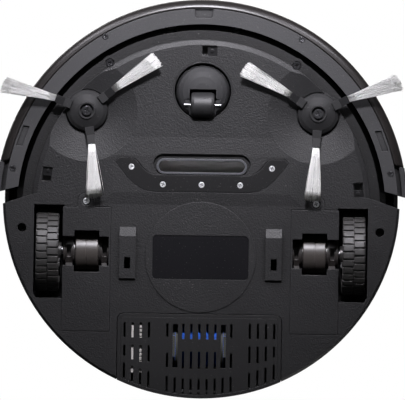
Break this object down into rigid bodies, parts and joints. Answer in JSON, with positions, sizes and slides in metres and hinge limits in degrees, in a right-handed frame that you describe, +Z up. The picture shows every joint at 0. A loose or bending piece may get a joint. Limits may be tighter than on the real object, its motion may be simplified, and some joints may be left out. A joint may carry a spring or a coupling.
{
  "type": "robot vacuum",
  "caption": "Round floor-cleaning robot with sprung drive wheels, a swivel caster, side brushes, a suction slot, a sprung bumper and a sliding dust bin.",
  "frame": {"origin": "on the floor under the middle of the round body", "axes": "+Z up, +Y forward (the way it drives), +X to the robot's right"},
  "size_m": [0.3102, 0.3005, 0.078],
  "materials": {
    "chassis_plastic": "fine moulded texture",
    "dark_plastic": "satin",
    "bumper_plastic": "satin grey",
    "gloss_black": "polished",
    "grey_plastic": "smooth",
    "lip_plastic": "satin light grey",
    "label_black": "printed film, blank",
    "steel": "zinc plated",
    "cell_wrap": "shrink wrap over cells",
    "board_green": "solder mask",
    "motor_can": "plated can",
    "drive_plastic": "glass filled",
    "nylon": "natural nylon",
    "bristle": "nylon filament",
    "tyre_rubber": "matt",
    "hub_plastic": "satin",
    "fan_blue": "tinted, glossy",
    "filter_paper": "pleated paper",
    "soft_grey": "satin",
    "switch_red": "satin"
  },
  "bodies": {
    "body": {"bottom_chassis": "chassis_plastic", "upper_housing": "dark_plastic", "top_cover": "gloss_black", "top_panel": "gloss_black", "inlet_plate": "dark_plastic", "inlet_lip": "lip_plastic", "suction_duct": "grey_plastic", "right_wheel_cover": "chassis_plastic", "left_wheel_cover": "chassis_plastic", "right_wheel_bay": "grey_plastic", "left_wheel_bay": "grey_plastic", "caster_socket": "dark_plastic", "cliff_sensors": "gloss_black", "rating_label": "label_black", "chassis_screws": "steel", "battery_pack": "cell_wrap", "main_board": "board_green", "right_brush_gearbox": "grey_plastic", "left_brush_gearbox": "grey_plastic", "brush_motors": "motor_can", "pivot_pins": "steel", "right_suspension_spring": "steel", "left_suspension_spring": "steel", "bumper_springs": "steel", "dc_jack": "dark_plastic"},
    "bumper": {"bumper_frame": "bumper_plastic", "bumper_fascia": "gloss_black", "bumper_screws": "steel"},
    "caster_fork": {"caster_turret": "gloss_black", "caster_axle": "steel"},
    "caster_roller": {"caster_wheel": "drive_plastic"},
    "right_brush": {"right_brush_hub": "dark_plastic", "right_brush_bristles": "bristle", "right_brush_screw": "steel", "right_brush_spindle": "nylon"},
    "right_pinion": {"right_brush_pinion": "nylon"},
    "right_arm": {"right_drive_arm": "drive_plastic", "right_gearmotor": "motor_can"},
    "right_wheel": {"right_wheel_axle": "steel", "right_wheel_hub": "hub_plastic", "right_wheel_tyre": "tyre_rubber"},
    "left_brush": {"left_brush_hub": "dark_plastic", "left_brush_bristles": "bristle", "left_brush_screw": "steel", "left_brush_spindle": "nylon"},
    "left_pinion": {"left_brush_pinion": "nylon"},
    "left_arm": {"left_drive_arm": "drive_plastic", "left_gearmotor": "motor_can"},
    "left_wheel": {"left_wheel_axle": "steel", "left_wheel_hub": "hub_plastic", "left_wheel_tyre": "tyre_rubber"},
    "dust_bin": {"bin_shell": "dark_plastic", "bin_grille": "dark_plastic", "bin_filter": "filter_paper", "fan_housing": "fan_blue"},
    "fan": {"fan_impeller": "soft_grey"},
    "flap": {"bin_flap": "dark_plastic"},
    "latch": {"bin_latch": "grey_plastic"},
    "start": {"start_button": "soft_grey"},
    "power": {"power_rocker": "switch_red"}
  },
  "joints": [
    {"name": "bumper_press", "type": "slide", "parent": "body", "child": "bumper", "axis": [0, -1, 0], "range_m": [0, 0.004], "stiffness_N_per_m": 500, "springref_m": -0.003, "deforming": ["bumper_springs"]},
    {"name": "caster_swivel", "type": "hinge", "parent": "body", "child": "caster_fork", "pos_m": [0, 0.0815, 0.029], "axis": [0, 0, 1], "continuous": true},
    {"name": "caster_roll", "type": "hinge", "parent": "caster_fork", "child": "caster_roller", "pos_m": [0, 0.0713, 0.0095], "axis": [1, 0, 0], "continuous": true},
    {"name": "right_suspension", "type": "hinge", "parent": "body", "child": "right_arm", "pos_m": [0.086, -0.092, 0.024], "axis": [-1, 0, 0], "range_deg": [0, 17], "stiffness_Nm_per_rad": 0.24, "springref_deg": 60.16, "deforming": ["right_suspension_spring"]},
    {"name": "right_wheel_spin", "type": "hinge", "parent": "right_arm", "child": "right_wheel", "pos_m": [0.115, -0.0393, 0.031], "axis": [1, 0, 0], "continuous": true},
    {"name": "right_brush_spin", "type": "hinge", "parent": "body", "child": "right_brush", "pos_m": [0.0868, 0.0658, 0.02], "axis": [0, 0, 1], "continuous": true},
    {"name": "right_pinion_spin", "type": "hinge", "parent": "body", "child": "right_pinion", "pos_m": [0.07282, 0.05407, 0.025], "axis": [0, 0, 1], "continuous": true},
    {"name": "left_suspension", "type": "hinge", "parent": "body", "child": "left_arm", "pos_m": [-0.086, -0.092, 0.024], "axis": [-1, 0, 0], "range_deg": [0, 17], "stiffness_Nm_per_rad": 0.24, "springref_deg": 60.16, "deforming": ["left_suspension_spring"]},
    {"name": "left_wheel_spin", "type": "hinge", "parent": "left_arm", "child": "left_wheel", "pos_m": [-0.115, -0.0393, 0.031], "axis": [1, 0, 0], "continuous": true},
    {"name": "left_brush_spin", "type": "hinge", "parent": "body", "child": "left_brush", "pos_m": [-0.0868, 0.0658, 0.02], "axis": [0, 0, 1], "continuous": true},
    {"name": "left_pinion_spin", "type": "hinge", "parent": "body", "child": "left_pinion", "pos_m": [-0.07282, 0.05407, 0.025], "axis": [0, 0, 1], "continuous": true},
    {"name": "dust_bin_slide", "type": "slide", "parent": "body", "child": "dust_bin", "axis": [0, -1, 0], "range_m": [0, 0.075]},
    {"name": "fan_spin", "type": "hinge", "parent": "dust_bin", "child": "fan", "pos_m": [0, -0.11, 0.03], "axis": [1, 0, 0], "continuous": true},
    {"name": "bin_flap_swing", "type": "hinge", "parent": "dust_bin", "child": "flap", "pos_m": [0, -0.09, 0.057], "axis": [-1, 0, 0], "range_deg": [0, 60]},
    {"name": "bin_latch_press", "type": "slide", "parent": "dust_bin", "child": "latch", "axis": [0, 1, 0], "range_m": [0, 0.0025], "stiffness_N_per_m": 400, "springref_m": -0.002},
    {"name": "start_press", "type": "slide", "parent": "body", "child": "start", "axis": [0, 0, -1], "range_m": [0, 0.001], "stiffness_N_per_m": 600, "springref_m": -0.001},
    {"name": "power_rock", "type": "hinge", "parent": "body", "child": "power", "pos_m": [0.08482, -0.11674, 0.05], "axis": [0, 0, 1], "range_deg": [0, 12]}
  ],
  "couplings": [
    {"joint": "right_pinion_spin", "follows": "right_brush_spin", "ratio": -2.25},
    {"joint": "left_pinion_spin", "follows": "left_brush_spin", "ratio": -2.25}
  ]
}
